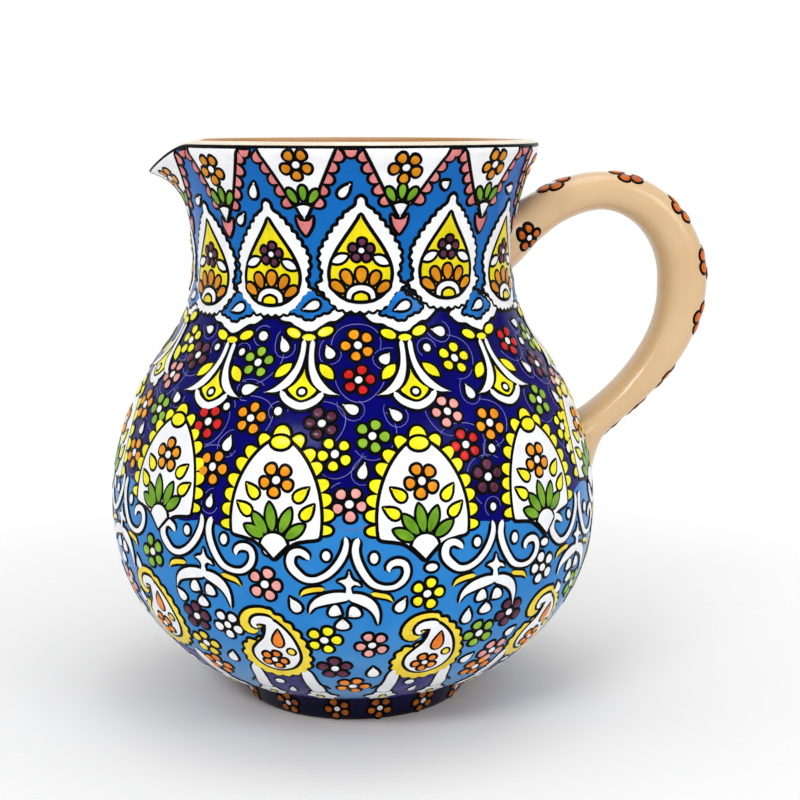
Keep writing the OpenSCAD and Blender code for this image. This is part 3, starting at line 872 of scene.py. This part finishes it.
for turn, lift in allRound(shoulder["arches"], *shoulder["columns"]):
    place = onWall(turn, lift)
    side = spline(archEdge[:8], False, 1.0)
    for flip in (1, -1):
        lean = leftOf(side, False) * [flip, 1]
        for way, wide in archScales:
            at = side[stepAt(side, way)] * [flip, 1]
            out = lean[stepAt(side, way)]
            tilt = np.degrees(np.arctan2(-out[0], out[1]))
            bulge = scale(wide + rng.uniform(-0.2, 0.2), 4.3 + rng.uniform(-0.3, 0.3))
            inked("shoulder", "yellow", laid(bulge, at[0], at[1], tilt), place, 0.0, 0.5, 1.05)
    inked("shoulder", "yellow", laid(scale(7.4, 5.4), 0.1, 131.6, 0), place, 0.05, 0.5, 1.1)
    panel = spline(mirrored(archEdge), True, 0.8)
    inked("shoulder", "white", panel, place, 0.1, 0.34, 1.3, (0, 110), wideRings)
    inked("shoulder", "yellow", laid(oval(8.2, 5.8, 18), 0.1, 130.3, 0), place, 0.35, 0.5, 1.1)
    flower("shoulder", "orange", rng.uniform(-0.8, 0.4), 117.2, place, 6.9, 0.34)
    for x, s, tilt in ((-8.8, 113.2, 52), (9.2, 112.8, -42), (-11.4, 107.0, 52), (11.7, 106.8, -44)):
        drop = laid(tear(4.6, 7.4), x, s, tilt + rng.uniform(-8, 8))
        inked("shoulder", "yellow", drop, place, 0.34, 0.4, 1.0)
    for angle, long in ((64, 9.6), (37, 10.4), (9, 11.4), (-21, 10.8), (-53, 9.8)):
        at = laid([[0, 3.6 + long / 2]], 0.2, 95.2, angle + rng.uniform(-4, 4))[0]
        inked("shoulder", "leaf", laid(blade(4.5, long, 20), at[0], at[1], angle), place, 0.34, 0.4, 0.95)
    half = np.radians(np.linspace(0, 180, 17))
    dome = np.stack([5.2 * np.cos(half), 95.0 + 4.6 * np.sin(half)], -1)
    bud = np.concatenate([dome, [[-2.6, 92.4], [0, 89.9], [2.6, 92.4]]])
    inked("shoulder", "white", bud, place, 0.5, 0.4, 1.1, (0, 95))
for turn, s, colour in allRound(shoulder["flowers"], *shoulder["columns"]):
    place = onWall(turn)
    flower("shoulder", colour, 0, s, place, rng.uniform(6.6, 7.1))
    # a pale arc round the flower: a painted glint along the edge of its raised black line
    a = np.radians(rng.uniform(0, 360) + np.linspace(0, 200, 30))
    reach = 8.1 + 0.35 * np.sin(3 * a) + 1.6 * np.linspace(-0.3, 1, 30)**4
    curl = np.stack([reach * np.cos(a), s + reach * np.sin(a)], -1)
    stroke(("shoulder", "lilac"), curl, 0.15, place, 0.06, 0.1)
for turn, s, long, wide, tilt in allRound(shoulder["drops"], *shoulder["columns"]):
    place = onWall(turn)
    shape = tear(wide + 1.0, long + 0.8) if long > 4.5 else oval(wide + 0.6, long + 0.6, 14)
    outline = laid(shape, 0, s, tilt)
    inked("shoulder", "white", outline, place, 0.0, 0.5, 1.1)
    # a pale line round most of the drop: a painted glint along the edge of its raised black line
    ring = pushed(outline, 1.5)[: len(outline) * 3 // 4]
    stroke(("shoulder", "lilac"), ring, 0.14, place, 0.06, 0.1)
print("shoulder painted")

# Belly: paired scrolls under the arches, a white sprig, combs of paisley, and loose flowers between
belly = {
    "columns": (-76.7, 73.3, 5, 12), "combColumns": (-68.0, 67.5, 4, 11),
    "scrolls": [(-65.5, 9.0), (-33.6, 3.6), (-1.1, -0.5), (31.4, 1.3), (61.0, 2.6)],
    "combs": [(-52.8, 6.6), (-19.5, 1.0), (17.1, -1.0), (50.8, -1.0)],
    "high": [
        (-49.8, 84.3, "green"), (-19.0, 80.3, "pink"), (15.4, 76.8, "yellow"), (45.8, 78.4, "white")],
    "edge": [(-66.5, 66.0, "pink")],
    "low": [
        (-38.2, 62.6, "plum"), (-29.6, 61.6, "white"), (-39.0, 49.3, "straw"),
        (-40.0, 36.3, "tangerine"), (-6.8, 58.8, "yellow"), (-4.9, 43.8, "plum"),
        (-0.6, 30.7, "tangerine"), (3.9, 56.3, "pink"), (30.0, 56.4, "green"), (37.3, 63.4, "plum"),
        (37.2, 44.5, "pink"), (35.2, 34.8, "tangerine"), (63.8, 64.0, "green")],
    "highDrops": [
        (-57.0, 77.6, 6.0, 3.8, 10), (-41.4, 70.9, 6.0, 3.8, 40), (-12.7, 73.3, 6.6, 4.0, 28),
        (9.9, 73.2, 6.4, 3.8, -28), (16.2, 86.4, 4.0, 5.6, 0), (46.0, 88.0, 4.0, 5.4, 0),
        (54.8, 66.8, 6.4, 4.0, 30), (-18.0, 92.5, 4.0, 5.0, 0)],
    "lowDrops": [
        (-65.5, 55.5, 6.4, 4.0, 10), (-60.0, 62.5, 6.0, 3.8, 0), (-31.8, 45.2, 6.6, 4.0, -20),
        (4.6, 41.2, 6.8, 4.4, 4), (25.4, 65.8, 6.8, 4.0, -4), (29.6, 43.4, 6.2, 4.0, -40),
        (40.4, 53.4, 5.4, 3.8, -50)]}

scrollRight = [
    [3.2, 98.6, 3.4], [2.3, 95.5, 3.6], [2.2, 93.4, 3.7], [2.8, 90.7, 3.7], [3.9, 88.0, 3.7],
    [5.7, 84.9, 3.6], [8.0, 82.2, 3.4], [10.7, 80.9, 3.0], [13.4, 80.5, 2.9], [16.3, 81.0, 3.0],
    [18.9, 83.1, 3.3], [20.0, 85.9, 3.4], [19.3, 88.6, 3.5], [17.1, 89.6, 3.6], [14.7, 89.1, 3.4],
    [13.6, 87.6, 3.1], [13.9, 86.2, 2.6]]
scrollLeft = [
    [-1.3, 99.0, 2.4], [-0.9, 96.6, 3.0], [-1.4, 93.9, 3.4], [-2.3, 91.8, 3.5], [-3.6, 89.6, 3.5],
    [-5.6, 87.2, 3.4], [-8.2, 85.1, 3.3], [-11.7, 83.6, 3.2], [-15.3, 83.8, 3.5], [-18.2, 85.9, 4.0],
    [-20.1, 88.3, 4.1], [-20.3, 90.9, 4.1], [-19.2, 92.8, 3.9], [-16.9, 93.3, 3.6], [-14.8, 92.2, 3.3],
    [-13.6, 90.6, 2.8]]
crownEdge = [
    [0, 87.4], [1.1, 85.0], [1.9, 83.9], [3.6, 83.0], [4.4, 81.2], [2.6, 81.6], [1.2, 81.0],
    [1.0, 79.6], [1.9, 77.4], [0, 76.7], [-1.9, 77.6], [-1.6, 79.6], [-1.6, 81.0], [-2.8, 82.2],
    [-4.4, 83.2], [-3.0, 84.2], [-1.4, 84.6], [-0.9, 85.4]]
leafLeft = [[-8.3, 80.3, 2.6], [-12.4, 79.9, 2.8], [-15.6, 78.9, 2.6], [-17.2, 77.0, 0.8]]
leafRight = [[7.4, 78.6, 2.6], [10.6, 77.8, 2.8], [13.4, 77.0, 2.6], [15.4, 74.8, 0.8]]
wingLeft = [
    [0.6, 77.6, 3.8], [-4.5, 77.2, 5.0], [-9.2, 76.0, 4.8], [-12.6, 73.8, 3.2], [-14.2, 70.2, 0.8]]
wingRight = [[-0.6, 77.6, 3.8], [4.0, 76.4, 5.0], [7.4, 74.2, 4.7], [9.4, 70.6, 3.2], [10.0, 65.4, 0.8]]
combPanel = np.array([[-8.5, 40], [-9.5, 28], [-8.5, 10], [8.5, 10], [9.5, 28], [8.5, 40]], float)
leg = np.array([
    [9.6, 43.5, 1.4], [9.8, 39.5, 5.0], [9.8, 33.0, 5.8], [10.4, 27.0, 6.4], [9.6, 20.5, 5.0]])
thorn = np.array([[12.2, 31.5, 0.7], [14.2, 29.6, 1.5], [15.4, 27.4, 0.7]])
combEdge = [
    [-6.6, 55.8], [-9.4, 55.0], [-11.5, 51.5], [-12.3, 46.5], [-10.3, 41.4], [-6.1, 37.0], [0.2, 35.2],
    [6.9, 37.4], [11.5, 41.5], [13.8, 47.1], [13.7, 53.3], [12.3, 59.0], [9.3, 63.6], [4.2, 68.2],
    [-1.2, 70.4], [-1.6, 64.0], [-2.6, 58.2]]
combHook = [
    [3.5, 66.2, 8.0], [-1.5, 66.2, 8.8], [-5.2, 65.0, 9.4], [-7.0, 62.4, 8.6], [-5.8, 60.4, 6.2],
    [-3.6, 60.2, 3.4]]
seedEdge = [
    [-5.4, 54.4], [-7.8, 50.8], [-7.9, 46.5], [-5.4, 42.4], [-1.6, 40.2], [2.4, 40.3], [7.0, 42.8],
    [10.1, 48.0], [10.2, 54.0], [8.0, 60.4], [3.6, 65.4], [-0.6, 67.2], [-0.9, 63.4], [-1.6, 59.8],
    [-3.0, 57.0]]
seedHook = [
    [3.0, 64.4, 5.2], [-0.8, 65.2, 4.8], [-3.6, 64.9, 4.4], [-5.0, 63.4, 3.6], [-4.4, 62.0, 2.8],
    [-3.2, 62.0, 2.0]]

skin(("belly", "cobalt"), grounds["low"], 11.5 + 0.6 * np.sin(np.radians(22 * roundTurn)), 12, 0.08)
for turn, lift in allRound(belly["scrolls"], *belly["columns"]):
    place = onWall(turn, lift)
    for line in (leafLeft, leafRight):
        inkedStroke("belly", "straw", line, place)
    for line in (scrollRight, scrollLeft):
        inkedStroke("belly", "white", line, place, 0.05, 0.5, 1.1)
    inked("belly", "white", laid(oval(4.0, 5.0, 14), 8.6, 91.3, 0), place, 0.0, 0.5, 1.0)
    inked("belly", "white", laid(oval(4.0, 4.6, 14), -7.8, 92.2, 0), place, 0.0, 0.5, 1.0)
    for line in (wingLeft, wingRight):
        inkedStroke("belly", "white", line, place, 0.05, 0.5, 1.1)
    inked("belly", "white", spline(crownEdge, True, 0.5), place, 0.05, 0.52, 1.0, (0, 82.8))
    for x, s, tilt in ((-4.7, 71.7, 62), (1.4, 71.2, -50), (-2.4, 66.6, 180)):
        inked("belly", "white", laid(tear(6.0, 5.8), x, s, tilt + 180), place, 0.0, 0.5, 1.1)
for turn, lift in allRound(belly["combs"], *belly["combColumns"]):
    place = onWall(turn, lift)
    footing = onWall(turn)
    puddle(("belly", "violet"), evenly(combPanel, True, 1.2), footing, 0.0, 0.16, (0, 28), wideRings)
    inked("belly", "white", laid(oval(4.6, 4.4, 14), -2.4, 32.0, 12), footing, 0.1, 0.4, 0.9)
    inked("belly", "white", laid(tear(3.6, 6.4), 0.6, 25.0, -14), footing, 0.1, 0.4, 0.9)
    for side in (1, -1):
        stroke(("belly", "ink"), thorn[:, :2] * [side, 1], thorn[:, 2] / 2, footing, 0.05, 0.34)
        inkedStroke("belly", "white", leg * [side, 1, 1], footing, 0.02, 0.34, 1.0)
        a = np.arange(36) * np.pi / 18
        lobes = 5.4 + 0.8 * np.cos(6 * a)
        lobed = np.stack([side * 9.8 + lobes * np.cos(a), 18.6 + lobes * np.sin(a)], -1)
        inked("belly", "white", lobed, footing, 0.14, 0.42, 0.9)
        inked("belly", "yellow", laid(oval(2.6, 4.2, 12), side * 9.2, 18.8, 0), footing, 0.5, 0.4, 0.8)
    edge = rippled(spline(combEdge, True, 0.5), 1.1, 4.4)
    inked("belly", "straw", edge, place, 0.12, 0.3, 1.1, (2, 50), wideRings)
    inkedStroke("belly", "straw", combHook, place, 0.12, 0.34, 1.1)
    inked("belly", "white", spline(seedEdge, True, 0.7), place, 0.36, 0.28, 1.2, (2, 50), wideRings)
    inkedStroke("belly", "white", seedHook, place, 0.4, 0.3, 1.2)
    inked("belly", "tangerine", laid(tear(4.8, 9.2), 3.3, 57.6, -8), place, 0.54, 0.36, 0.9)
    flower("belly", "tangerine", 0.1, 46.8, place, 5.4, 0.54)
    inked("belly", "straw", laid(oval(3.6, 3.8, 12), 7.2, 51.6, 0), place, 0.54, 0.34, 0.9)
loose = allRound(belly["high"], *belly["columns"])
loose += allRound(belly["low"], *belly["combColumns"]) + belly["edge"]
for turn, s, colour in loose:
    flower("belly", colour, 0, s, onWall(turn), rng.uniform(6.7, 7.2))
loose = allRound(belly["highDrops"], *belly["columns"])
loose += allRound(belly["lowDrops"], *belly["combColumns"])
for turn, s, long, wide, tilt in loose:
    outline = tear(wide + 1.0, long + 0.8) if long > wide else oval(wide, long, 14)
    inked("belly", "white", laid(outline, 0, s, tilt), onWall(turn), 0.0, 0.5, 1.1)
print("belly painted")

# Foot and handle: brown flowers round the foot, russet ones along the strap's back
footFlowers = {
    "columns": (-69.0, 70.5, 6, 16),
    "front": [-60.5, -33.2, -8.4, 11.6, 34.0, 58.4],
    "size": 5.6, "height": 5.8}
for turn, in allRound([(t,) for t in footFlowers["front"]], *footFlowers["columns"]):
    flower("foot", "brown", 0, footFlowers["height"], onFoot(turn), footFlowers["size"], 0.02)
strapFlowers = {
    "at": [
        (0.66, 0.8, 7.4), (1.14, 2.6, 7.4), (1.53, 3.2, 7.2), (1.875, 3.2, 7.2), (2.14, 3.8, 7.2),
        (2.43, 2.0, 6.4), (2.61, 1.0, 5.8), (2.745, 0.6, 5.2)],
    "full": 0.6, "side": (0.3, -2.0, 5.4)}


def onStrap(t, u0):
    # x mm across the strap from the angle u0, y mm along it from station t
    fine = np.linspace(0, 3, 600)
    at, way, back, inner, wide = strapAt(fine)
    line = at + np.stack([-way[:, 1], way[:, 0]], -1) * back[:, None] * np.cos(u0)
    length = lengths(line)
    begin = np.interp(t, fine, length)

    def place(x, y, h):
        return strapSkin(np.interp(begin + y, length, fine), u0 - x / strap["across"], h)
    return place


for t, shift, size in strapFlowers["at"]:
    flower("handle", "russet", shift, 0, onStrap(t, 0.0), size, full=strapFlowers["full"])
t, turned, size = strapFlowers["side"]
flower("handle", "russet", 0, 0, onStrap(t, turned), size)
print("foot and handle painted")

pieces = {}
for zone, colour in heaps:
    if zone == "ground":
        material = groundFinish[colour]
    elif colour in glazes:
        material = glazes[colour]
    else:
        material = finishes[colour]
    pieces[zone, colour] = makeMesh(zone + "_" + colour, (zone, colour), material)
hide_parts("belly_enamel")
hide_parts("shoulder_enamel")
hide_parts("foot_enamel")
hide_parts("neck_enamel", "lip_enamel")
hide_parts("rim_band", "pouring_lip")
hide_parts("lining_glaze")
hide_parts("handle", "upper_pad", "lower_pad")

slots = {"white": "white_enamel", "sky": "sky_blue_enamel", "cobalt": "cobalt_enamel"}
for (zone, colour), piece in pieces.items():
    colour in slots

for node in ("foot_ring", "floor_disc", "lower_belly", "upper_belly", "neck_collar"):
    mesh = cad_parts[node].data
    mesh.materials.clear()
    mesh.materials.append(clayBody)
print("pieces made:", len(pieces))

# Studio: a pale floor, three soft lamps, a plain white world, and the camera of the photo
studio = {
    "floor": 6.0, "camera": (-0.02617, -0.59943, 0.2283), "down": 79.51, "round": -4.274, "lens": 68.74,
    "fadeFrom": 0.1, "fadeTo": 0.32, "world": 0.55, "middle": (0, 0, 0.12),
    "lamps": [
        ("left strip", (-0.6, -1.0, 0.9), 0.5, 0.12, 6),
        ("right softbox", (0.9, -0.9, 0.7), 0.6, 0.6, 4),
        ("top softbox", (0.1, 0.1, 1.5), 1.0, 1.0, 5.5)]}
floorMesh = bpy.data.meshes.new("floor")
reach = studio["floor"]
corners = [(-reach, -reach, 0), (reach, -reach, 0), (reach, reach, 0), (-reach, reach, 0)]
floorMesh.from_pydata(corners, [], [(0, 1, 2, 3)])
floor = bpy.data.objects.new("floor", floorMesh)
bpy.context.scene.collection.objects.link(floor)
floorPaint, floorShader, floorPlace = finish("pale floor")
mottle = cloud(floorPlace, 3.0, 2.0)
plug(floorShader, "Base Color", mottle.mixed(linear((246, 246, 246)), linear((250, 250, 250))))
floorShader.inputs["Roughness"].default_value = 0.9
away = floorPlace.make("ShaderNodeVectorMath", {"operation": "LENGTH"}, {0: floorPlace}, "Value")
fade = ((away - studio["fadeFrom"]) / (studio["fadeTo"] - studio["fadeFrom"])).clipped()
rays = {name: floorPlace.make("ShaderNodeLightPath", {}, {}, name)
        for name in ("Is Camera Ray", "Is Glossy Ray", "Is Transmission Ray")}
direct = (rays["Is Camera Ray"] + rays["Is Glossy Ray"] + rays["Is Transmission Ray"]).clipped()
blank = floorPlace.make("ShaderNodeEmission", {}, {"Color": (1, 1, 1, 1), "Strength": 1.0})
floorTree = floorPaint.node_tree
floorMix = floorTree.nodes.new("ShaderNodeMixShader")
floorTree.links.new((fade * direct).socket, floorMix.inputs[0])
floorTree.links.new(floorShader.outputs[0], floorMix.inputs[1])
floorTree.links.new(blank.socket, floorMix.inputs[2])
floorTree.links.new(floorMix.outputs[0], floorTree.nodes["Material Output"].inputs[0])
floorMesh.materials.append(floorPaint)


def lamp(name, at, wide, high, power):
    # an area lamp that looks at the jug's middle
    light = bpy.data.lights.new(name, "AREA")
    light.shape = "RECTANGLE"
    light.size = wide
    light.size_y = high
    light.energy = power
    piece = bpy.data.objects.new(name, light)
    piece.location = at
    to = np.array(studio["middle"]) - np.array(at)
    flat = np.hypot(to[0], to[1])
    piece.rotation_euler = (np.pi / 2 + np.arctan2(to[2], flat), 0, np.arctan2(to[1], to[0]) - np.pi / 2)
    bpy.context.scene.collection.objects.link(piece)


for lampValues in studio["lamps"]:
    lamp(*lampValues)
world = bpy.data.worlds.new("white room")
world.use_nodes = True
sky = world.node_tree
sky.nodes.clear()
worldOut = sky.nodes.new("ShaderNodeOutputWorld")
seen = sky.nodes.new("ShaderNodeBackground")
seen.inputs[0].default_value = (1, 1, 1, 1)
seen.inputs[1].default_value = 1.0
felt = sky.nodes.new("ShaderNodeBackground")
felt.inputs[0].default_value = (1, 1, 1, 1)
felt.inputs[1].default_value = studio["world"]
choose = sky.nodes.new("ShaderNodeMixShader")
skyWire = Wire(sky, seen.outputs[0])
skyRays = [skyWire.make("ShaderNodeLightPath", {}, {}, name) for name in rays]
sky.links.new((skyRays[0] + skyRays[1] + skyRays[2]).clipped().socket, choose.inputs[0])
sky.links.new(felt.outputs[0], choose.inputs[1])
sky.links.new(seen.outputs[0], choose.inputs[2])
sky.links.new(choose.outputs[0], worldOut.inputs[0])
bpy.context.scene.world = world

view = bpy.data.cameras.new("camera")
view.lens = studio["lens"]
view.sensor_width = 36
camera = bpy.data.objects.new("camera", view)
camera.location = studio["camera"]
camera.rotation_euler = (np.radians(studio["down"]), 0, np.radians(studio["round"]))
bpy.context.scene.collection.objects.link(camera)
bpy.context.scene.camera = camera
bpy.context.scene.view_settings.view_transform = "Standard"
print("studio set")
